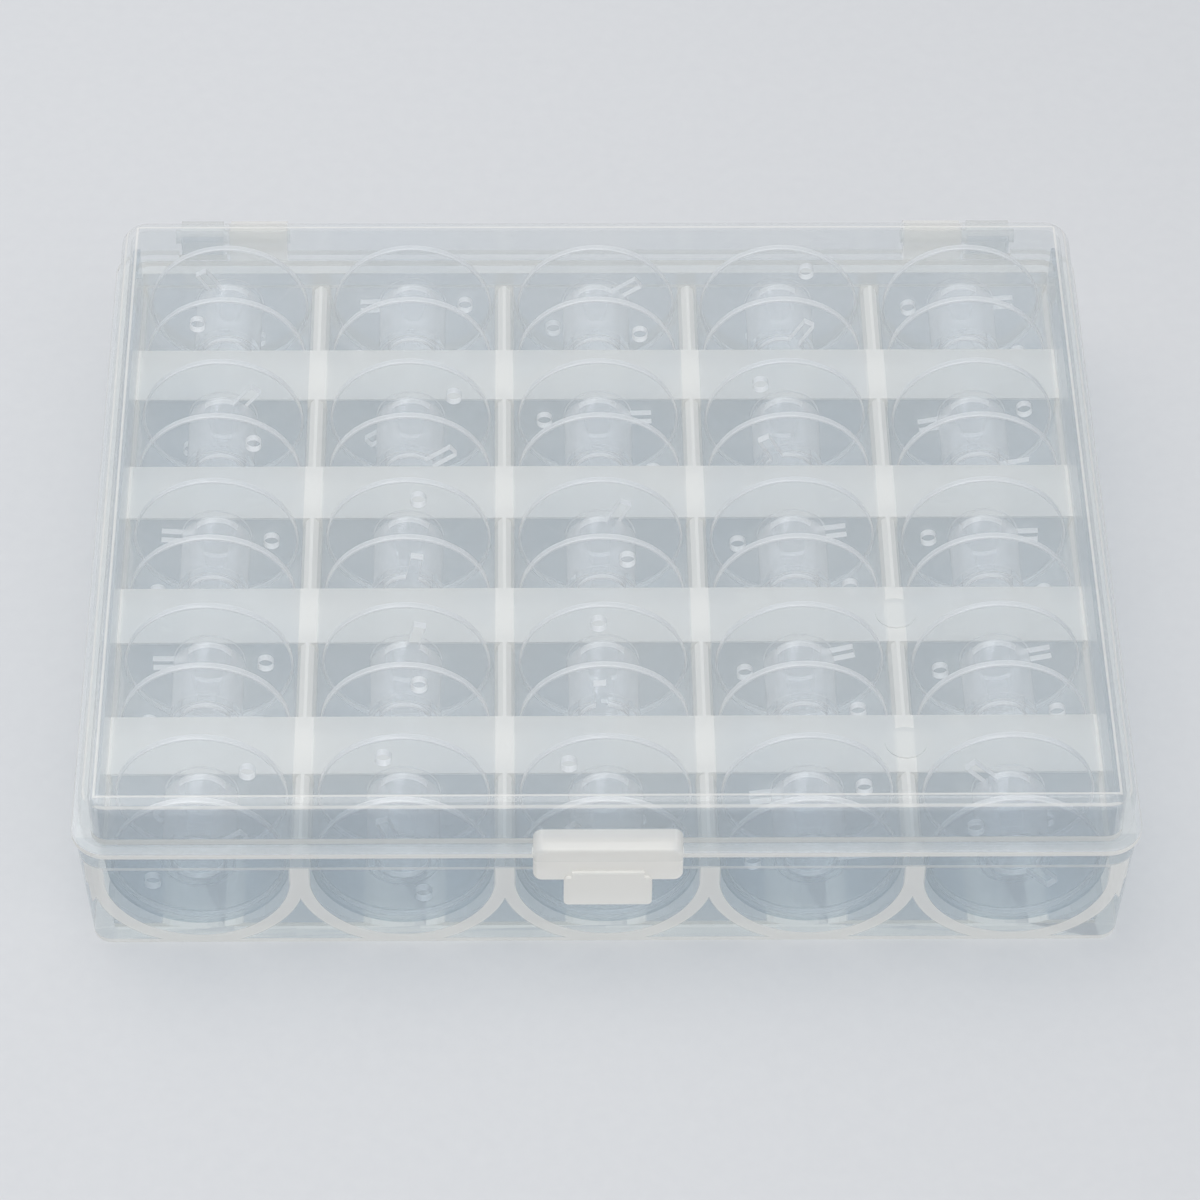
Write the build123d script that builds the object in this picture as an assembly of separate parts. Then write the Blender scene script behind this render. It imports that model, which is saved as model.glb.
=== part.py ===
from build123d import *
import os

# Bobbin storage box: a tray with 25 troughs, a hinged lid and 25 bobbins.
# Millimetres. +X right, +Y from the latch to the hinge, +Z up, tray foot at Z = 0.

# Bobbin (class 15, standing on its rim, axle along Y)
bobbin_diameter = 20.3
bobbin_width = 10.8
flange_thickness = 0.95
hub_diameter = 8.6
hub_wall = 1.2
thread_mark_offset = 2.5
thread_hole_diameter = 2.0
thread_slot_width = 1.5
# Few-sided outlines keep 25 copies light. 20 sides stay within 0.13 mm of the circle.
flange_sides = 20
hub_sides = 10
hole_sides = 6

# Places in the box
columns = 5
rows = 5
seat_gap = 0.15
side_clearance = 0.55
end_clearance = 0.7
head_room = 0.85

# Tray
trough_floor = 1.5
trough_sheet = 1.9
trough_sides = 20
ridge_rise = 1.9
ridge_width = 9.15
ridge_wall = 1.4
ridge_skin = 1.3
web_lean = 0.4
web_bevel = 0.6
web_flat = 0.4
tray_wall = 2.4
tray_draft = 4.0
tray_corner_radius = 3.4
shoulder_width = 2.8
shoulder_rise = 2.3
rim_wall = 0.9
rim_head_gap = 1.3
gate_mark_diameter = 5.0
gate_mark_height = 0.2
gate_mark_sides = 16

# Lid
lid_top = 1.3
lid_wall = 1.2
lid_gap = 0.2
lid_rest_gap = 0.3
lid_corner_radius = 3.4
lid_edge_round = 2.0
lip_height = 0.9
lip_reach = 1.05
lip_bevel = 0.2

# Hinge at the back, on both sides
hinge_reach = 2.3
hinge_drop = 5.4
barrel_radius = 2.0
pin_diameter = 1.8
pin_clearance = 0.25
hook_mouth = 1.5
knuckle_start = 40.0
knuckle_width = 7.3
lug_gap = 1.0
lug_width = 5.4
lug_clearance = 0.4
lug_foot_height = 9.5
pin_end = 0.8
pin_inner_end = 0.3

# Latch at the front
hood_width = 17.3
hood_reach = 2.4
hood_rise = 2.7
hood_slope = 1.7
hood_corner_radius = 1.1
hood_edge_round = 0.5
hood_height = 5.25
hood_wall = 1.0
hood_cheek = 1.2
hood_clearance = 0.3
tab_width = 10.2
tab_root_width = 8.4
tab_height = 4.6
tab_overlap = 0.95
tab_root_height = 0.9
tab_corner_radius = 0.6
tab_proud = 0.4
tab_thickness = 1.4
catch_width = 14.0
catch_height = 0.7
catch_reach = 0.5
catch_clearance = 0.1

# Values that follow from the ones above
bobbin_radius = bobbin_diameter / 2
bore_diameter = hub_diameter - 2 * hub_wall
thread_mark_radius = hub_diameter / 2 + thread_mark_offset
pocket_radius = bobbin_radius + side_clearance
pocket_length = bobbin_width + 2 * end_clearance
trough_axis = pocket_radius + trough_floor
trough_outer_radius = pocket_radius + trough_sheet
bobbin_axis = trough_floor + seat_gap + bobbin_radius
ridge_top = trough_axis + ridge_rise
column_pitch = 2 * (pocket_radius + web_lean + web_bevel) + web_flat
row_pitch = pocket_length + ridge_width
field_half_x = (columns - 1) / 2 * column_pitch + pocket_radius + web_lean
field_half_y = (rows - 1) / 2 * row_pitch + pocket_length / 2
tray_half_x = field_half_x + shoulder_width
tray_half_y = field_half_y + shoulder_width
rim_half_x = field_half_x + rim_wall
rim_half_y = field_half_y + rim_wall
shoulder_height = ridge_top + shoulder_rise
lid_height = bobbin_axis + bobbin_radius + head_room + lid_top
rim_top = lid_height - lid_top - rim_head_gap
lid_half_x = rim_half_x + lid_gap + lid_wall
lid_half_y = rim_half_y + lid_gap + lid_wall
lid_foot = shoulder_height + lid_rest_gap
hinge_y = lid_half_y + hinge_reach
hinge_z = lid_height - hinge_drop
hood_front = lid_half_y + hood_reach
tab_front = hood_front + tab_proud
hood_top = lid_foot + hood_rise
hood_foot = hood_top - hood_height
# The whole object is moved along Y so that its bounding box is centred on the origin.
centre_shift = (tab_front - hinge_y - barrel_radius) / 2

# Turn of each bobbin as the photo shows it: degrees from +X towards +Z to the front
# flange's hole, back row first, left to right
bobbin_turns = [
    [121, 181, 36, 240, 4],
    [50, 216, 2, 299, 193],
    [176, 259, 63, 10, 2],
    [180, 75, 275, 16, 14],
    [216, 290, 310, 188, 135],
]


def box_between(x_range, y_range, z_range):
    """A block given by its two faces along each axis."""
    size = [high - low for low, high in (x_range, y_range, z_range)]
    middle = [(high + low) / 2 for low, high in (x_range, y_range, z_range)]
    return Pos(*middle) * Box(*size)


def along_y(profile, length):
    """Extrude an X-Z profile to both sides of the X-Z plane."""
    return extrude(Plane.XZ * profile, length / 2, both=True)


def along_x(profile, start, end):
    """Extrude a Y-Z profile from one X to another."""
    return extrude(Plane.YZ.offset(start) * profile, end - start)


def each_row():
    """Y of the middle of each row, back row first."""
    return [((rows - 1) / 2 - row) * row_pitch for row in range(rows)]


def each_column():
    """X of the middle of each column, left to right."""
    return [(column - (columns - 1) / 2) * column_pitch for column in range(columns)]


# Bobbin


def thread_marks():
    """Hole and open slot of the front flange, opposite each other."""
    hole = Pos(thread_mark_radius, 0) * RegularPolygon(thread_hole_diameter / 2, hole_sides)
    slot_length = thread_mark_radius - hub_diameter / 4
    slot_middle = -(thread_mark_radius + hub_diameter / 4) / 2
    slot = Pos(slot_middle, 0) * Rectangle(slot_length, thread_slot_width)
    return hole + slot


def make_bobbin(turn):
    """Two flanges on a hollow hub. The back flange's marks mirror the front one's."""
    flange = RegularPolygon(bobbin_radius, flange_sides)
    hub = RegularPolygon(hub_diameter / 2, hub_sides)
    bore = RegularPolygon(bore_diameter / 2, hub_sides)
    reach = (bobbin_width - flange_thickness) / 2
    front_cut = Pos(0, -reach, 0) * along_y(thread_marks(), flange_thickness)
    back_cut = Pos(0, reach, 0) * along_y(Rot(0, 0, 180) * thread_marks(), flange_thickness)
    flange_disc = along_y(flange, flange_thickness)
    spool = Pos(0, -reach, 0) * flange_disc + Pos(0, reach, 0) * flange_disc
    spool += along_y(hub, bobbin_width)
    spool = spool - front_cut - back_cut - along_y(bore, bobbin_width + 2)
    return Rot(0, -turn, 0) * spool


# Tray


def pocket_profile():
    """Half-round trough with upright sides that lean out to a bevel at the web's top."""
    top_half = pocket_radius + web_lean
    outer_half = top_half + web_bevel
    sides = Polyline(
        (-pocket_radius, trough_axis),
        (-top_half, ridge_top - web_bevel),
        (-outer_half, ridge_top),
        (-outer_half, ridge_top + 1),
        (outer_half, ridge_top + 1),
        (outer_half, ridge_top),
        (top_half, ridge_top - web_bevel),
        (pocket_radius, trough_axis),
    )
    trough = ThreePointArc(
        (-pocket_radius, trough_axis), (0, trough_floor), (pocket_radius, trough_axis)
    )
    return make_face([sides, trough])


def pocket_row():
    """The five pockets of one row."""
    pocket = along_y(pocket_profile(), pocket_length)
    return Part() + [Pos(x, 0, 0) * pocket for x in each_column()]


def trough_row():
    """The material round one row of pockets: five outer arcs under a block of webs."""
    arc = Pos(0, trough_axis) * RegularPolygon(trough_outer_radius, trough_sides)
    below = Pos(0, trough_axis / 2) * Rectangle(2 * trough_outer_radius, trough_axis)
    arcs = Sketch() + [Pos(x, 0) * (arc & below) for x in each_column()]
    webs = Pos(0, (trough_axis + ridge_top) / 2) * Rectangle(2 * tray_half_x, ridge_rise)
    return along_y(arcs + webs, pocket_length + 2 * ridge_wall)


def drafted_block(outline):
    """A block under the shoulder, narrower towards the foot."""
    plane = Plane(origin=(0, 0, shoulder_height), z_dir=(0, 0, -1))
    return extrude(plane * outline, shoulder_height, taper=tray_draft)


def tray_underside():
    """Everything that is open from below: between the troughs and inside the ridges."""
    roof = ridge_top - ridge_skin
    inside = Rectangle(2 * (tray_half_x - tray_wall), 2 * (tray_half_y - tray_wall))
    hollow = drafted_block(inside) & box_between(
        (-tray_half_x, tray_half_x), (-tray_half_y, tray_half_y), (0, roof)
    )
    troughs = Part() + [Pos(0, y, 0) * trough_row() for y in each_row()]
    return hollow - troughs


def tray_rim():
    """The rim that stands up inside the lid. The back stays open for the lid's swing."""
    outer = RectangleRounded(2 * rim_half_x, 2 * rim_half_y, tray_corner_radius - rim_wall)
    inner = Rectangle(2 * field_half_x, 2 * field_half_y)
    rim = extrude(Pos(0, 0, ridge_top) * (outer - inner), rim_top - ridge_top)
    back_end = field_half_y - end_clearance - lid_rest_gap
    swing = box_between(
        (-tray_half_x, tray_half_x), (back_end, tray_half_y), (shoulder_height, rim_top)
    )
    return rim - swing


def hinge_lug():
    """Arm on the tray's back wall with the peg that the lid's hook turns on."""
    start = knuckle_start + knuckle_width + lug_gap
    end = start + lug_width
    barrel = Pos(hinge_y, hinge_z) * Circle(barrel_radius)
    foot = Pos(tray_half_y - tray_wall / 2, lug_foot_height) * Circle(tray_wall / 3)
    arm = make_hull((barrel + foot).edges())
    lug = along_x(arm, start, end)
    lug -= box_between(
        (start, end), (0, hinge_y - barrel_radius), (shoulder_height, lid_height)
    )
    peg = along_x(
        Pos(hinge_y, hinge_z) * Circle(pin_diameter / 2),
        knuckle_start - pin_inner_end,
        end + pin_end,
    )
    return lug + peg


def latch_catch():
    """Rib on the front wall, just above the bead of the lid's latch."""
    top = shoulder_height
    return box_between(
        (-catch_width / 2, catch_width / 2),
        (-tray_half_y - catch_reach, -tray_half_y + tray_wall / 2),
        (top - catch_height, top),
    )


def gate_marks():
    """Two low round marks where the plastic entered the mould."""
    web_x = 1.5 * column_pitch
    mark = extrude(RegularPolygon(gate_mark_diameter / 2, gate_mark_sides), gate_mark_height)
    ridge_ys = [-row_pitch / 2, -1.5 * row_pitch]
    return Part() + [Pos(web_x, y, ridge_top) * mark for y in ridge_ys]


def make_tray():
    """Troughs, webs and hollow ridges inside a drafted wall."""
    field = box_between(
        (-field_half_x, field_half_x), (-field_half_y, field_half_y), (0, lid_height)
    )
    pockets = Part() + [Pos(0, y, 0) * pocket_row() for y in each_row()]
    above = box_between(
        (-field_half_x, field_half_x), (-field_half_y, field_half_y), (ridge_top, lid_height)
    )
    outline = RectangleRounded(2 * tray_half_x, 2 * tray_half_y, tray_corner_radius)
    tray = drafted_block(outline) - tray_underside() - (pockets & field) - above
    tray += tray_rim()
    tray += latch_catch()
    tray += hinge_lug()
    tray += mirror(hinge_lug(), Plane.YZ)
    return tray + gate_marks()


# Lid


def lid_shell():
    """Flat top, skirt and the bead round the skirt's foot."""
    outline = RectangleRounded(2 * lid_half_x, 2 * lid_half_y, lid_corner_radius)
    shell = extrude(Pos(0, 0, lid_foot) * outline, lid_height - lid_foot)
    shell = fillet(shell.faces().sort_by(Axis.Z)[-1].edges(), lid_edge_round)
    lip_outline = RectangleRounded(
        2 * (lid_half_x + lip_reach), 2 * (lid_half_y + lip_reach), lid_corner_radius + lip_reach
    )
    lip = extrude(Pos(0, 0, lid_foot) * lip_outline, lip_height)
    lip = chamfer(lip.faces().sort_by(Axis.Z)[-1].edges(), lip_bevel)
    inside = RectangleRounded(
        2 * (lid_half_x - lid_wall), 2 * (lid_half_y - lid_wall), lid_corner_radius - lid_wall
    )
    hollow = extrude(Pos(0, 0, lid_foot) * inside, lid_height - lid_top - lid_foot)
    return shell + lip - hollow


def lug_notch():
    """Room for the tray's lug behind the lid's back face."""
    start = knuckle_start + knuckle_width + lug_gap - lug_clearance
    end = start + lug_width + 2 * lug_clearance
    return box_between((start, end), (lid_half_y, hinge_y), (0, lid_height))


def hinge_hook():
    """Knuckle with a mouth that snaps over the tray's peg from above."""
    end = knuckle_start + knuckle_width
    barrel = Pos(hinge_y, hinge_z) * Circle(barrel_radius)
    root_height = 2 * (hinge_z - lid_foot) - lid_rest_gap
    root = Pos(lid_half_y - lid_wall / 4, hinge_z) * Rectangle(lid_wall / 2, root_height)
    knuckle = along_x(make_hull((barrel + root).edges()), knuckle_start, end)
    seat = Pos(hinge_y, hinge_z) * Circle(pin_diameter / 2 + pin_clearance)
    mouth = Pos(hinge_y, hinge_z - barrel_radius) * Rectangle(hook_mouth, 2 * barrel_radius)
    return knuckle - along_x(seat + mouth, knuckle_start - 1, end + 1)


def latch_hood():
    """Hooded plate in front of the lid's skirt, hollow behind, with a bead low down inside."""
    half = hood_width / 2
    back = -lid_half_y + lid_wall / 2
    side = Polyline(
        (-hood_front, hood_foot),
        (-hood_front, hood_top),
        (back, hood_top + hood_slope),
        (back, hood_foot),
        close=True,
    )
    hood = along_x(make_face(side), -half, half)
    corners = [edge for edge in hood.edges() if edge.bounding_box().size.Y > hood_reach]
    hood = fillet(corners, hood_corner_radius)
    hood = fillet(hood.faces().sort_by(Axis.Y)[0].edges(), hood_edge_round)
    pocket = box_between(
        (-half + hood_cheek, half - hood_cheek),
        (-hood_front + hood_wall, -lid_half_y),
        (0, hood_top - hood_wall),
    )
    below_skirt = box_between(
        (-half, half), (-tray_half_y - hood_clearance, 0), (0, lid_foot)
    )
    bead_tip = tray_half_y + catch_reach + catch_clearance
    bead = box_between(
        (-half + hood_cheek, half - hood_cheek),
        (-hood_front + hood_wall / 2, -bead_tip),
        (hood_foot, lid_foot - lid_rest_gap - catch_height - catch_clearance),
    )
    behind = box_between((-half, half), (-lid_half_y + 0.01, 0), (0, lid_height))
    return hood - pocket - below_skirt - behind + bead


def latch_tab():
    """Finger tab under the hood, a little proud of it, notched at its root."""
    top = hood_foot + tab_overlap
    blade = RectangleRounded(tab_width, tab_height, tab_corner_radius)
    root = Rectangle(tab_root_width, 2 * tab_root_height)
    outline = Pos(0, top - tab_height / 2) * blade + Pos(0, top) * root
    tab = extrude(Plane.XZ * outline, tab_thickness)
    return Pos(0, -tab_front + tab_thickness, 0) * tab


def make_lid():
    """Shell with the latch in front and two hooks behind."""
    lid = lid_shell() - lug_notch() - mirror(lug_notch(), Plane.YZ)
    lid += hinge_hook()
    lid += mirror(hinge_hook(), Plane.YZ)
    lid += latch_hood()
    return lid + latch_tab()


# Every piece as its own file, in its place


def save(name, solid):
    """Write one piece, moved so that the whole box is centred."""
    piece = Pos(0, centre_shift, 0) * solid
    piece.label = name
    export_step(piece, f"parts/{name}.step")


os.makedirs("parts", exist_ok=True)
save("base", make_tray())
save("lid", make_lid())
for row, y in enumerate(each_row()):
    for column, x in enumerate(each_column()):
        bobbin = make_bobbin(bobbin_turns[row][column])
        save(f"bobbin_r{row + 1}c{column + 1}", Pos(x, y, bobbin_axis) * bobbin)
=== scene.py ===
import math

import bmesh
import bpy
from mathutils import Matrix, Vector


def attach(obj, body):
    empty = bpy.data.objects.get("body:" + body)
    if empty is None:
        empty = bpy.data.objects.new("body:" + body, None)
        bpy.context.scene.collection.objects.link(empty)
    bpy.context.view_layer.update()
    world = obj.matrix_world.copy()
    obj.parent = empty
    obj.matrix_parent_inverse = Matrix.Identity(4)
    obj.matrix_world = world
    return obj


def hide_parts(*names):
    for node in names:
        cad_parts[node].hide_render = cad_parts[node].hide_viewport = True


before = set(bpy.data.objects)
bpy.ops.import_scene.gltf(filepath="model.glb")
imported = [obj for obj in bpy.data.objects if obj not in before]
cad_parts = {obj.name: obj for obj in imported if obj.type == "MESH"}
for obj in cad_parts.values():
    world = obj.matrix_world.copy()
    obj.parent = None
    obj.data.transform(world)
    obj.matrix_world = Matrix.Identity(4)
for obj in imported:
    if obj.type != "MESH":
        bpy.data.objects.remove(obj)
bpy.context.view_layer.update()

# Box. Names that end in _MM are in millimetres, other lengths are in metres
MM = 0.001
ROWS = 5
COLUMNS = 5
COLUMN_PITCH_MM = 23.8
ROW_PITCH_MM = 21.35
CENTRE_SHIFT_MM = -0.75
POCKET_RADIUS_MM = 10.7
TROUGH_OUTER_RADIUS_MM = 12.6
TROUGH_AXIS_MM = 12.2
RIDGE_TOP_MM = 14.1
SHOULDER_MM = 16.4
SHOULDER_EDGE_MM = 0.5
WEB_HALF_MM = 1.175
WEB_SOFT_MM = 0.175
WEB_BELOW_AXIS_MM = 2.0
FRONT_WALL_MM = 49.2
END_WALL_MM = 50.1
LUG_MM = 51.1
FOOT_LINE_MM = 0.65
LIP_TOP_MM = 17.6
LID_HALF_WIDTH_MM = 61.0
LID_HALF_DEPTH_MM = 51.1
LATCH_MM = 52.0
LATCH_HALF_WIDTH_MM = 8.75
KNUCKLE_MM = 49.05
KNUCKLE_INNER_MM = 39.95
KNUCKLE_OUTER_MM = 47.35

# The two painted highlight lines and the haze on the lid's rounded top edge: how far inside
# its outline and how high
UPPER_HIGHLIGHT_INSIDE_MM = (2.2, 1.9)
UPPER_HIGHLIGHT_HEIGHT_MM = 23.8
LOWER_HIGHLIGHT_INSIDE_MM = 1.05
LOWER_HIGHLIGHT_HEIGHT_MM = (23.5, 23.75)
ROUNDING_INSIDE_MM = 1.9
ROUNDING_HEIGHT_MM = 23.4

# Half widths of the soft steps between places
SOFT_MM = 0.1
LINE_SOFT_MM = 0.06
RING_SOFT_MM = 0.05

# Bobbin
BOBBIN_AXIS_MM = 11.8
BOBBIN_RADIUS = 10.15 * MM
BOBBIN_HALF_WIDTH = 5.4 * MM
FLANGE_THICKNESS = 0.95 * MM
HUB_RADIUS = 4.3 * MM
BORE_RADIUS = 3.1 * MM
MARK_RADIUS = 6.8 * MM
HOLE_RADIUS = 1.0 * MM
SLOT_WIDTH = 1.5 * MM
BOBBIN_ROUNDING = 0.22 * MM
BOBBIN_STEPS = 96
HOLE_STEPS = 24
CUTTER_OVER_FLANGE = 1.6

# How a bobbin's faces are told apart
RIM_BAND = 0.3 * MM
HUB_BAND = 0.15 * MM
ON_FLANGE_SHARE = 0.98
SIDEWAYS_NORMAL = 0.7
CORNER_NORMALS = (0.12, 0.97)
SHARP_ANGLE = math.radians(35)

# Turn of each bobbin as the photo shows it, back row first, left to right
BOBBIN_TURNS = [
    [121, 181, 36, 240, 4],
    [50, 216, 2, 299, 193],
    [176, 259, 63, 10, 2],
    [180, 75, 275, 16, 14],
    [216, 290, 310, 188, 135],
]

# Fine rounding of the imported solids' edges
EDGE_ROUNDING = 0.15 * MM
EDGE_ANGLE = math.radians(38)
WELD_DISTANCE = 1e-6

# Plastics: how milky each place is, and the colours of the clear and the milky share
MILK_COOL = (0.86, 0.90, 0.93, 1)
MILK_WARM = (0.965, 0.95, 0.91, 1)
BOBBIN_MILK_COOL = (0.93, 0.95, 0.97, 1)
BOBBIN_MILK_WARM = (0.98, 0.98, 0.98, 1)
TRANSLUCENT_SHARE = 0.3
CLOUD_DETAIL = 2.0
RIPPLE_DETAIL = 4.0
RIPPLE_ROUGHNESS = 0.6
FLOW_DETAIL = 3.0
FINE_DETAIL = 2.0
GLOSS_POWER = 5.0
EDGE_ON_POWER = 2.5
UPRIGHT_NORMAL = 0.3
LEVEL_NORMAL = 0.8
# Whiteness of the tray's heavy places; the shoulder entry is a painted highlight that whitens the
# shoulder's level top into a bright line
TRAY_WHITENESS_AND_HIGHLIGHTS = {
    "sheet": 1.0, "web": 1.0, "foot": 1.0, "lug": 0.5, "ridge": 0.45, "shoulder_highlight": 0.3,
}
# Whiteness of the lid's heavy places; the upper and lower line entries are painted highlights along
# the rounded top edge
LID_WHITENESS_AND_HIGHLIGHTS = {
    "lip": 1.0, "latch": 0.8, "upper_highlight_line": 0.7, "lower_highlight_line": 0.6, "knuckle": 0.5, "rounding": 0.14,
}
TRAY_LOOK = {
    "haze": 0.29, "edge_on": 0.3, "whiteness_and_highlights": 0.72, "cloud": 0.06, "thin_clears": 0.75,
    "cloud_scale": 0.09, "ripple_scale": 0.8, "roughness": 0.16, "roughness_rise": 0.12,
    "bump_height": 0.05 * MM, "bump": 0.25, "gloss": 0.035, "gloss_rise": 0.8,
    "tint": (0.885, 0.915, 0.935, 1), "shadow": (0.90, 0.915, 0.925, 1),
    # The deep tint is painted shade: a darker clear tint on the rim and front wall that darkens the
    # hollows seen through them
    "painted_shade_tint": (0.80, 0.84, 0.87, 1),
}
LID_LOOK = {
    "haze": 0.065, "edge_on": 0.3, "whiteness_and_highlights": 0.75, "cloud": 0.04,
    "cloud_scale": 0.07, "ripple_scale": 0.6, "roughness": 0.10, "roughness_rise": 0.1,
    "bump_height": 0.04 * MM, "bump": 0.12, "gloss": 0.04, "gloss_rise": 0.85,
    "tint": (0.97, 0.978, 0.985, 1), "shadow": (0.975, 0.978, 0.98, 1),
    "lip_level": 0.1, "lip_upright": 0.9,
}
BOBBIN_LOOK = {
    "flow": 0.02, "flow_scale": 0.35, "fine_scale": 2.5, "roughness": 0.03, "roughness_rise": 0.05,
    "bump_height": 0.06 * MM, "bump": 0.3, "gloss": 0.05, "gloss_rise": 0.9,
    "shadow": (1, 1, 1, 1), "wall": 0.1, "outline": 0.4,
}

# Camera of the photo
CAMERA_PLACE = Vector((-0.01097, -0.42029, 0.43732))
CAMERA_PITCH = math.radians(45.805)
CAMERA_YAW = math.radians(1.455)
CAMERA_ROLL = math.radians(0.890)
CAMERA_LENS = 145.176
CAMERA_SENSOR = 36.0
CAMERA_SHIFT_X = 0.0018
CAMERA_CLIP = 0.01

# Studio
FLOOR_HALF_SIZE = 3.0
FLOOR_DARK = (0.62, 0.63, 0.645, 1)
FLOOR_LIGHT = (0.66, 0.67, 0.68, 1)
FLOOR_GRAIN_SCALE = 0.5
FLOOR_ROUGHNESS = 0.6
WORLD_COLOUR = (0.93, 0.95, 1.0, 1)
WORLD_STRENGTH = 0.47


# Node helpers


class Tree:
    """A material's node tree with short calls for the nodes used here."""

    def __init__(self, name):
        self.material = bpy.data.materials.new(name)
        self.material.use_nodes = True
        self.tree = self.material.node_tree
        self.tree.nodes.clear()

    def node(self, kind, **values):
        made = self.tree.nodes.new(kind)
        for key, value in values.items():
            setattr(made, key, value)
        return made

    def put(self, socket, value):
        if isinstance(value, bpy.types.NodeSocket):
            self.tree.links.new(value, socket)
        else:
            socket.default_value = value

    def math(self, operation, first, second=0.0, clamp=False):
        made = self.node("ShaderNodeMath", operation=operation, use_clamp=clamp)
        self.put(made.inputs[0], first)
        self.put(made.inputs[1], second)
        return made.outputs[0]

    def plus(self, first, second, clamp=False):
        return self.math("ADD", first, second, clamp)

    def minus(self, first, second, clamp=False):
        return self.math("SUBTRACT", first, second, clamp)

    def times(self, first, second):
        return self.math("MULTIPLY", first, second)

    def size_of(self, value):
        """The value without its sign."""
        return self.math("ABSOLUTE", value)

    def highest(self, values):
        top = values[0]
        for value in values[1:]:
            top = self.math("MAXIMUM", top, value)
        return top

    def distance(self, first, second):
        """Distance from the axis that the two offsets are measured from."""
        squares = [self.math("POWER", self.size_of(offset), 2.0) for offset in (first, second)]
        return self.math("SQRT", self.plus(squares[0], squares[1]))

    def ramp_between(self, value, low, high):
        """0 at low, 1 at high and smooth between, also where high is the smaller number."""
        made = self.node("ShaderNodeMapRange", interpolation_type="SMOOTHSTEP")
        self.put(made.inputs["Value"], value)
        made.inputs["From Min"].default_value = low
        made.inputs["From Max"].default_value = high
        return made.outputs[0]

    def above(self, value, edge, soft):
        """1 where value is over the edge."""
        return self.ramp_between(value, edge - soft, edge + soft)

    def below(self, value, edge, soft):
        """1 where value is under the edge."""
        return self.ramp_between(value, edge + soft, edge - soft)

    def band(self, value, low, high, soft):
        """1 where value lies between low and high."""
        rise = self.above(value, low, soft)
        fall = self.above(value, high, soft)
        return self.minus(rise, fall, clamp=True)

    def place_mm(self):
        """The surface's place in its piece's own frame, in millimetres: vector, X, Y and Z."""
        coordinates = self.node("ShaderNodeTexCoord")
        scaled = self.node("ShaderNodeVectorMath", operation="SCALE")
        self.put(scaled.inputs[0], coordinates.outputs["Object"])
        scaled.inputs["Scale"].default_value = 1 / MM
        apart = self.node("ShaderNodeSeparateXYZ")
        self.put(apart.inputs[0], scaled.outputs[0])
        return scaled.outputs[0], apart.outputs[0], apart.outputs[1], apart.outputs[2]

    def level(self):
        """1 where the surface lies flat, 0 where it stands upright."""
        coordinates = self.node("ShaderNodeTexCoord")
        apart = self.node("ShaderNodeSeparateXYZ")
        self.put(apart.inputs[0], coordinates.outputs["Normal"])
        return self.ramp_between(self.size_of(apart.outputs[2]), UPRIGHT_NORMAL, LEVEL_NORMAL)

    def noise(self, vector, scale, detail, roughness=0.5):
        made = self.node("ShaderNodeTexNoise")
        self.put(made.inputs["Vector"], vector)
        made.inputs["Scale"].default_value = scale
        made.inputs["Detail"].default_value = detail
        made.inputs["Roughness"].default_value = roughness
        return made.outputs["Fac"]

    def facing(self):
        """0 where the surface faces the eye, 1 where it is seen edge-on."""
        made = self.node("ShaderNodeLayerWeight")
        made.inputs["Blend"].default_value = 0.5
        return made.outputs["Facing"]

    def mix_shaders(self, share, first, second):
        made = self.node("ShaderNodeMixShader")
        self.put(made.inputs[0], share)
        self.put(made.inputs[1], first)
        self.put(made.inputs[2], second)
        return made.outputs[0]

    def mix_colours(self, share, first, second):
        made = self.node("ShaderNodeMix", data_type="RGBA")
        self.put(made.inputs["Factor"], share)
        self.put(made.inputs[6], first)
        self.put(made.inputs[7], second)
        return made.outputs[2]

    def bump(self, height, distance, strength):
        made = self.node("ShaderNodeBump")
        self.put(made.inputs["Height"], height)
        made.inputs["Distance"].default_value = distance
        made.inputs["Strength"].default_value = strength
        return made.outputs[0]

    def clear(self, colour):
        made = self.node("ShaderNodeBsdfTransparent")
        made.inputs["Color"].default_value = colour
        return made.outputs[0]

    def finish(self, surface):
        out = self.node("ShaderNodeOutputMaterial")
        self.put(out.inputs["Surface"], surface)
        return self.material


def see_through(tree, look, tint, haze, milk, roughness, normal, depth=0.0):
    """Plastic that shows what is behind it: a tinted clear share, a milky share and gloss on top.
    Depth is the share of painted shade: it mixes in the look's darker tint, if it has one.
    Rays from the lamps only meet a light tint."""
    lucid = tree.clear(tint)
    # Painted shade: depth mixes in the darker tint
    if "painted_shade_tint" in look:
        lucid = tree.mix_shaders(depth, lucid, tree.clear(look["painted_shade_tint"]))
    front = tree.node("ShaderNodeBsdfDiffuse")
    tree.put(front.inputs["Color"], milk)
    tree.put(front.inputs["Normal"], normal)
    through = tree.node("ShaderNodeBsdfTranslucent")
    tree.put(through.inputs["Color"], milk)
    milky = tree.mix_shaders(TRANSLUCENT_SHARE, front.outputs[0], through.outputs[0])
    body = tree.mix_shaders(haze, lucid, milky)
    gloss = tree.node("ShaderNodeBsdfGlossy")
    gloss.inputs["Color"].default_value = (1, 1, 1, 1)
    tree.put(gloss.inputs["Roughness"], roughness)
    tree.put(gloss.inputs["Normal"], normal)
    grazing = tree.math("POWER", tree.facing(), GLOSS_POWER)
    share = tree.plus(tree.times(grazing, look["gloss_rise"]), look["gloss"])
    seen = tree.mix_shaders(share, body, gloss.outputs[0])
    path = tree.node("ShaderNodeLightPath")
    return tree.mix_shaders(path.outputs["Is Shadow Ray"], seen, tree.clear(look["shadow"]))


def surface_detail(tree, look, grain):
    """Roughness and normal that follow the grain."""
    roughness = tree.plus(look["roughness"], tree.times(grain, look["roughness_rise"]))
    return roughness, tree.bump(grain, look["bump_height"], look["bump"])


# Materials


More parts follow.
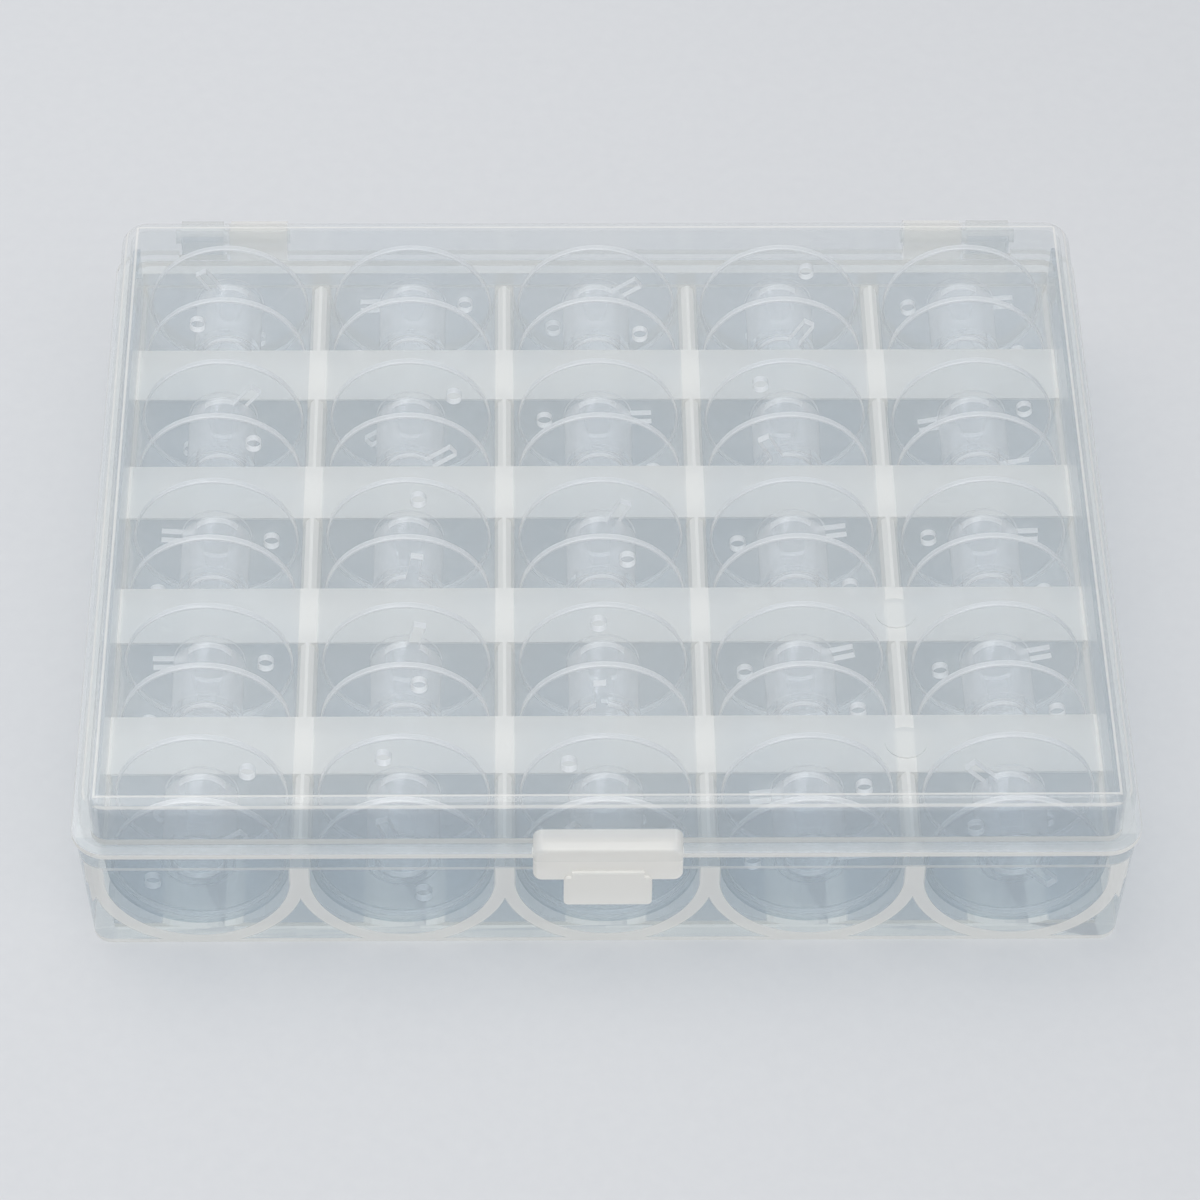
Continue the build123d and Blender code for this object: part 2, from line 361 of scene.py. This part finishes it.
def tray_plastic():
    """Milky polypropylene of the tray, whiter where the moulding is heavy, with a painted highlight
    on the shoulder's level top and painted shade on what shows through its rim and front wall.
    """
    look = TRAY_LOOK
    tree = Tree("tray_milky_plastic")
    place, x, y, z = tree.place_mm()
    cloud = tree.noise(place, look["cloud_scale"], CLOUD_DETAIL)
    ripple = tree.noise(place, look["ripple_scale"], RIPPLE_DETAIL, RIPPLE_ROUGHNESS)
    column = tree.node("ShaderNodeMath", operation="PINGPONG")
    tree.put(column.inputs[0], tree.size_of(x))
    column.inputs[1].default_value = COLUMN_PITCH_MM / 2
    from_column = column.outputs[0]
    radius = tree.distance(from_column, tree.minus(z, TROUGH_AXIS_MM))
    from_middle = tree.size_of(tree.minus(y, CENTRE_SHIFT_MM))
    low_half = tree.below(z, TROUGH_AXIS_MM, 3 * SOFT_MM)
    on_end_wall = tree.above(from_middle, END_WALL_MM, SOFT_MM)
    in_sheet = tree.band(
        radius, POCKET_RADIUS_MM + SOFT_MM, TROUGH_OUTER_RADIUS_MM - SOFT_MM, SOFT_MM
    )
    web_side = COLUMN_PITCH_MM / 2 - WEB_HALF_MM
    in_web = tree.above(from_column, web_side, WEB_SOFT_MM)
    web_height = tree.band(
        z, TROUGH_AXIS_MM - WEB_BELOW_AXIS_MM, RIDGE_TOP_MM + 2 * SOFT_MM, 3 * SOFT_MM
    )
    on_shoulder = tree.band(z, SHOULDER_MM - SHOULDER_EDGE_MM, SHOULDER_MM + SOFT_MM, SOFT_MM)
    masks = {
        "sheet": tree.times(in_sheet, tree.times(low_half, on_end_wall)),
        "web": tree.times(in_web, web_height),
        "lug": tree.above(y, LUG_MM, SOFT_MM),
        # Painted highlight: the shoulder's level faces are whitened into a bright line
        "shoulder_highlight": tree.times(on_shoulder, tree.level()),
        "foot": tree.below(z, FOOT_LINE_MM, SOFT_MM),
        "ridge": tree.band(
            z, RIDGE_TOP_MM - 2 * SOFT_MM, RIDGE_TOP_MM + 3 * SOFT_MM, SOFT_MM / 2
        ),
    }
    # Whiteness of heavy moulding, with the shoulder's painted highlight among it
    whiteness_and_highlights = tree.highest([tree.times(mask, TRAY_WHITENESS_AND_HIGHLIGHTS[name]) for name, mask in masks.items()])
    # The rim and the front wall are clearer, and they also get the painted shade of the darker tint
    in_rim = tree.above(z, SHOULDER_MM + 2 * SOFT_MM, SOFT_MM)
    in_front_wall = tree.below(y, -FRONT_WALL_MM, 2 * SOFT_MM)
    thin_and_shaded = tree.highest([in_rim, in_front_wall])
    edge_on = tree.math("POWER", tree.facing(), EDGE_ON_POWER)
    plain = tree.plus(look["haze"], tree.times(edge_on, look["edge_on"]))
    haze = tree.times(plain, tree.minus(1.0, tree.times(thin_and_shaded, look["thin_clears"])))
    haze = tree.plus(haze, tree.times(whiteness_and_highlights, look["whiteness_and_highlights"]))
    haze = tree.plus(haze, tree.times(cloud, look["cloud"]), clamp=True)
    milk = tree.mix_colours(tree.plus(whiteness_and_highlights, cloud, clamp=True), MILK_COOL, MILK_WARM)
    roughness, normal = surface_detail(tree, look, ripple)
    return tree.finish(see_through(tree, look, look["tint"], haze, milk, roughness, normal, thin_and_shaded))


def lid_plastic():
    """The lid's thinner, clearer milky plastic, whiter on its edges, latch and knuckles; the two
    white lines along its rounded top edge are painted highlights.
    """
    look = LID_LOOK
    tree = Tree("lid_milky_plastic")
    place, x, y, z = tree.place_mm()
    cloud = tree.noise(place, look["cloud_scale"], CLOUD_DETAIL)
    ripple = tree.noise(place, look["ripple_scale"], RIPPLE_DETAIL, RIPPLE_ROUGHNESS)
    sideways = tree.size_of(x)
    from_middle = tree.size_of(tree.minus(y, CENTRE_SHIFT_MM))
    past_side = tree.minus(sideways, LID_HALF_WIDTH_MM)
    past_end = tree.minus(from_middle, LID_HALF_DEPTH_MM)
    outside = tree.highest([past_side, past_end])
    upright = tree.minus(1.0, tree.level())
    lip_share = tree.plus(look["lip_level"], tree.times(upright, look["lip_upright"]))
    masks = {
        "lip": tree.times(tree.below(z, LIP_TOP_MM, SOFT_MM), lip_share),
        "latch": tree.times(
            tree.below(y, -LATCH_MM, SOFT_MM),
            tree.below(sideways, LATCH_HALF_WIDTH_MM, SOFT_MM / 2),
        ),
        "knuckle": tree.times(
            tree.above(y, KNUCKLE_MM, SOFT_MM / 2),
            tree.band(sideways, KNUCKLE_INNER_MM, KNUCKLE_OUTER_MM, LINE_SOFT_MM),
        ),
        # Painted highlights: two white lines along the lid's rounded top edge
        "upper_highlight_line": tree.times(
            tree.band(outside, -UPPER_HIGHLIGHT_INSIDE_MM[0], -UPPER_HIGHLIGHT_INSIDE_MM[1], LINE_SOFT_MM),
            tree.above(z, UPPER_HIGHLIGHT_HEIGHT_MM, SOFT_MM),
        ),
        "lower_highlight_line": tree.times(
            tree.above(outside, -LOWER_HIGHLIGHT_INSIDE_MM, SOFT_MM / 2),
            tree.band(z, *LOWER_HIGHLIGHT_HEIGHT_MM, LINE_SOFT_MM),
        ),
        "rounding": tree.times(
            tree.above(outside, -ROUNDING_INSIDE_MM, SOFT_MM),
            tree.above(z, ROUNDING_HEIGHT_MM, SOFT_MM),
        ),
    }
    # Whiteness of heavy places together with the painted highlight lines
    whiteness_and_highlights = tree.highest([tree.times(mask, LID_WHITENESS_AND_HIGHLIGHTS[name]) for name, mask in masks.items()])
    edge_on = tree.math("POWER", tree.facing(), EDGE_ON_POWER)
    haze = tree.plus(look["haze"], tree.times(whiteness_and_highlights, look["whiteness_and_highlights"]))
    haze = tree.plus(haze, tree.times(edge_on, look["edge_on"]))
    haze = tree.plus(haze, tree.times(cloud, look["cloud"]), clamp=True)
    milk = tree.mix_colours(tree.plus(whiteness_and_highlights, cloud, clamp=True), MILK_COOL, MILK_WARM)
    roughness, normal = surface_detail(tree, look, ripple)
    return tree.finish(see_through(tree, look, look["tint"], haze, milk, roughness, normal))


def bobbin_plastic(name, haze, rise, tint, spread=3.0, ring=0.0, bore_end_highlight=0.0):
    """Clear polystyrene with a faint flow pattern. Ring whitens the hub's wall where it shows
    through a flange, and the last argument paints a highlight on both ends of the bore."""
    look = BOBBIN_LOOK
    tree = Tree(name)
    place, x, y, z = tree.place_mm()
    flow = tree.noise(place, look["flow_scale"], FLOW_DETAIL)
    fine = tree.noise(place, look["fine_scale"], FINE_DETAIL)
    radius = tree.distance(x, z)
    hub_mm = HUB_RADIUS / MM
    flange_start_mm = (BOBBIN_HALF_WIDTH - FLANGE_THICKNESS) / MM
    wall = tree.band(radius, BORE_RADIUS / MM, hub_mm + RING_SOFT_MM, RING_SOFT_MM)
    outline = tree.band(
        radius, hub_mm - 3 * RING_SOFT_MM, hub_mm + 2 * RING_SOFT_MM, RING_SOFT_MM
    )
    near_end = tree.above(tree.size_of(y), flange_start_mm + 2 * RING_SOFT_MM, RING_SOFT_MM)
    edge_on = tree.math("POWER", tree.facing(), spread)
    haze = tree.plus(haze, tree.times(edge_on, rise))
    haze = tree.plus(haze, tree.times(wall, look["wall"] * ring))
    haze = tree.plus(haze, tree.times(outline, look["outline"] * ring))
    # Painted highlight on both ends of the bore
    haze = tree.plus(haze, tree.times(near_end, bore_end_highlight))
    haze = tree.plus(haze, tree.times(flow, look["flow"]), clamp=True)
    milk = tree.mix_colours(flow, BOBBIN_MILK_COOL, BOBBIN_MILK_WARM)
    roughness = tree.plus(look["roughness"], tree.times(fine, look["roughness_rise"]))
    normal = tree.bump(flow, look["bump_height"], look["bump"])
    return tree.finish(see_through(tree, look, tint, haze, milk, roughness, normal))


# Bobbins


def lathe(profile, steps):
    """A closed profile of (radius, y) points turned round the Y axis."""
    made = bmesh.new()
    rings = []
    for step in range(steps):
        angle = 2 * math.pi * step / steps
        rings.append(
            [made.verts.new((r * math.cos(angle), y, r * math.sin(angle))) for r, y in profile]
        )
    for step in range(steps):
        ring, following = rings[step], rings[(step + 1) % steps]
        for place in range(len(profile)):
            after = (place + 1) % len(profile)
            made.faces.new((ring[place], ring[after], following[after], following[place]))
    bmesh.ops.recalc_face_normals(made, faces=made.faces)
    return made


def rounded(corners, radius, steps=3):
    """A closed polyline with its corners rounded."""
    points = []
    count = len(corners)
    for place in range(count):
        before = Vector(corners[place - 1])
        corner = Vector(corners[place])
        after = Vector(corners[(place + 1) % count])
        towards = (before - corner).normalized() * radius
        onwards = (after - corner).normalized() * radius
        for step in range(steps + 1):
            share = step / steps
            start = corner + towards * (1 - share)
            end = corner + onwards * share
            points.append(tuple(start * (1 - share) + end * share))
    return points


def mesh_object(name, made):
    mesh = bpy.data.meshes.new(name)
    made.to_mesh(mesh)
    made.free()
    piece = bpy.data.objects.new(name, mesh)
    bpy.context.scene.collection.objects.link(piece)
    return piece


def flange_cutters():
    """The round hole and the open slot of both flanges, the far flange's mirrored."""
    cutters = bmesh.new()
    middle = BOBBIN_HALF_WIDTH - FLANGE_THICKNESS / 2
    depth = FLANGE_THICKNESS * CUTTER_OVER_FLANGE
    slot_start = HUB_RADIUS / 2
    for side in (-1, 1):
        hole = Matrix.Translation((-side * MARK_RADIUS, side * middle, 0))
        hole = hole @ Matrix.Rotation(math.pi / 2, 4, "X")
        bmesh.ops.create_cone(
            cutters, segments=HOLE_STEPS, radius1=HOLE_RADIUS, radius2=HOLE_RADIUS,
            depth=depth, cap_ends=True, matrix=hole,
        )
        slot = Matrix.Translation((side * (MARK_RADIUS + slot_start) / 2, side * middle, 0))
        slot = slot @ Matrix.Diagonal((MARK_RADIUS - slot_start, depth, SLOT_WIDTH, 1))
        bmesh.ops.create_cube(cutters, size=1.0, matrix=slot)
    return mesh_object("cutters", cutters)


def bobbin_mesh():
    """One bobbin with rounded rims, its thread holes and its open slots."""
    half, inner = BOBBIN_HALF_WIDTH, BOBBIN_HALF_WIDTH - FLANGE_THICKNESS
    corners = [
        (BORE_RADIUS, -half),
        (BOBBIN_RADIUS, -half),
        (BOBBIN_RADIUS, -inner),
        (HUB_RADIUS, -inner),
        (HUB_RADIUS, inner),
        (BOBBIN_RADIUS, inner),
        (BOBBIN_RADIUS, half),
        (BORE_RADIUS, half),
    ]
    spool = mesh_object("spool", lathe(rounded(corners, BOBBIN_ROUNDING), BOBBIN_STEPS))
    tool = flange_cutters()
    cut = spool.modifiers.new("cut", "BOOLEAN")
    cut.object = tool
    cut.operation = "DIFFERENCE"
    cut.solver = "EXACT"
    bpy.context.view_layer.update()
    mesh = bpy.data.meshes.new_from_object(
        spool.evaluated_get(bpy.context.evaluated_depsgraph_get())
    )
    bpy.data.objects.remove(spool)
    bpy.data.objects.remove(tool)
    return mesh


def bobbin_materials():
    """Flange faces, rims with a painted highlight, the edges with painted glints, and the hub, in
    the order mark_edges uses.
    """
    return (
        bobbin_plastic(
            "bobbin_clear_plastic", haze=0.02, rise=0.35, tint=(0.985, 0.99, 0.995, 1), ring=1.0
        ),
        # Rims: whitened as a painted highlight line
        bobbin_plastic("bobbin_rim_highlight_plastic", haze=0.62, rise=0.3, tint=(0.97, 0.98, 0.99, 1)),
        # Rounded corners and the walls of holes and slots: painted glints
        bobbin_plastic("bobbin_glint_plastic", haze=0.92, rise=0.08, tint=(0.97, 0.98, 0.99, 1)),
        # Hub: a highlight is painted on both ends of the bore
        bobbin_plastic(
            "bobbin_hub_plastic", haze=0.13, rise=0.75, tint=(0.96, 0.975, 0.985, 1),
            spread=1.8, bore_end_highlight=0.55,
        ),
    )


def mark_edges(mesh):
    """Gives each face its material: rounded corners and the walls of holes and slots get painted
    glints, the rims a painted highlight.
    """
    clear, edge, glint, hub = range(4)
    for face in mesh.polygons:
        radius = math.hypot(face.center.x, face.center.z)
        along_axle = abs(face.normal.y)
        sideways = along_axle < SIDEWAYS_NORMAL
        on_flange = abs(face.center.y) > BOBBIN_HALF_WIDTH - FLANGE_THICKNESS * ON_FLANGE_SHARE
        at_rim = radius > BOBBIN_RADIUS - RIM_BAND
        at_hub = radius < HUB_RADIUS + HUB_BAND
        corner = on_flange and CORNER_NORMALS[0] < along_axle < CORNER_NORMALS[1]
        # Painted glints on rounded corners and on the walls of holes and slots, and a painted
        # highlight on the rims
        if corner or (sideways and on_flange and not at_rim and not at_hub):
            face.material_index = glint
        elif at_rim:
            face.material_index = edge
        else:
            face.material_index = hub if at_hub else clear
    mesh.set_sharp_from_angle(angle=SHARP_ANGLE)


def make_bobbins():
    mesh = bobbin_mesh()
    mesh.materials.clear()
    for material in bobbin_materials():
        mesh.materials.append(material)
    mark_edges(mesh)
    for row in range(ROWS):
        for column in range(COLUMNS):
            node = f"bobbin_r{row + 1}c{column + 1}"
            turned = mesh.copy()
            turned.transform(
                Matrix.Rotation(-math.radians(BOBBIN_TURNS[row][column]), 4, "Y")
            )
            piece = bpy.data.objects.new(f"clear_{node}", turned)
            bpy.context.scene.collection.objects.link(piece)
            piece.location = (
                (column - (COLUMNS - 1) / 2) * COLUMN_PITCH_MM * MM,
                (((ROWS - 1) / 2 - row) * ROW_PITCH_MM + CENTRE_SHIFT_MM) * MM,
                BOBBIN_AXIS_MM * MM,
            )
            piece.visible_shadow = False
            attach(piece, node)
            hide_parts(node)


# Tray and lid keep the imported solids


def dress(node, material):
    """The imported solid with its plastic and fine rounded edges."""
    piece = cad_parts[node]
    piece.data.materials.clear()
    piece.data.materials.append(material)
    weld = piece.modifiers.new("weld", "WELD")
    weld.merge_threshold = WELD_DISTANCE
    rounding = piece.modifiers.new("edges", "BEVEL")
    rounding.width = EDGE_ROUNDING
    rounding.segments = 2
    rounding.limit_method = "ANGLE"
    rounding.angle_limit = EDGE_ANGLE
    rounding.use_clamp_overlap = True
    rounding.harden_normals = False
    for face in piece.data.polygons:
        face.use_smooth = False


# Floor, light and camera


def make_floor():
    tree = Tree("pale_floor")
    place = tree.place_mm()[0]
    grain = tree.noise(place, FLOOR_GRAIN_SCALE, RIPPLE_DETAIL, RIPPLE_ROUGHNESS)
    board = tree.node("ShaderNodeBsdfPrincipled")
    tree.put(board.inputs["Base Color"], tree.mix_colours(grain, FLOOR_DARK, FLOOR_LIGHT))
    board.inputs["Roughness"].default_value = FLOOR_ROUGHNESS
    made = bmesh.new()
    bmesh.ops.create_grid(made, x_segments=1, y_segments=1, size=FLOOR_HALF_SIZE)
    floor = mesh_object("floor", made)
    floor.data.materials.append(tree.finish(board.outputs[0]))


def area_light(name, place, size, power):
    """A soft rectangular lamp that points at the middle of the box's foot."""
    data = bpy.data.lights.new(name, "AREA")
    data.shape = "RECTANGLE"
    data.size, data.size_y = size
    data.energy = power
    lamp = bpy.data.objects.new(name, data)
    lamp.location = place
    lamp.rotation_euler = (-Vector(place)).to_track_quat("-Z", "Y").to_euler()
    bpy.context.scene.collection.objects.link(lamp)


def make_lights():
    area_light("key", place=(-0.25, 0.15, 0.75), size=(0.8, 0.8), power=4.3)
    area_light("front", place=(0.35, -0.6, 0.6), size=(0.9, 0.8), power=2.5)
    world = bpy.data.worlds.new("studio")
    world.use_nodes = True
    background = world.node_tree.nodes["Background"]
    background.inputs["Color"].default_value = WORLD_COLOUR
    background.inputs["Strength"].default_value = WORLD_STRENGTH
    bpy.context.scene.world = world


def make_camera():
    data = bpy.data.cameras.new("photo_view")
    data.lens = CAMERA_LENS
    data.sensor_width = CAMERA_SENSOR
    data.shift_x = CAMERA_SHIFT_X
    data.clip_start = CAMERA_CLIP
    camera = bpy.data.objects.new("photo_view", data)
    bpy.context.scene.collection.objects.link(camera)
    forward = Vector((
        math.sin(CAMERA_YAW) * math.cos(CAMERA_PITCH),
        math.cos(CAMERA_YAW) * math.cos(CAMERA_PITCH),
        -math.sin(CAMERA_PITCH),
    ))
    level = Vector((math.cos(CAMERA_YAW), -math.sin(CAMERA_YAW), 0))
    up = level.cross(forward)
    right = level * math.cos(CAMERA_ROLL) + up * math.sin(CAMERA_ROLL)
    top = up * math.cos(CAMERA_ROLL) - level * math.sin(CAMERA_ROLL)
    turn = Matrix((right, top, -forward)).transposed()
    camera.matrix_world = Matrix.Translation(CAMERA_PLACE) @ turn.to_4x4()
    bpy.context.scene.camera = camera


def render_settings():
    """Enough clear bounces for the light to cross every layer of plastic."""
    scene = bpy.context.scene
    scene.view_settings.view_transform = "Standard"
    scene.cycles.max_bounces = 5
    scene.cycles.diffuse_bounces = 3
    scene.cycles.glossy_bounces = 2
    scene.cycles.transmission_bounces = 2
    scene.cycles.transparent_max_bounces = 64
    scene.cycles.caustics_reflective = False
    scene.cycles.caustics_refractive = False


make_camera()
make_floor()
make_lights()
render_settings()
dress("base", tray_plastic())
dress("lid", lid_plastic())
make_bobbins()
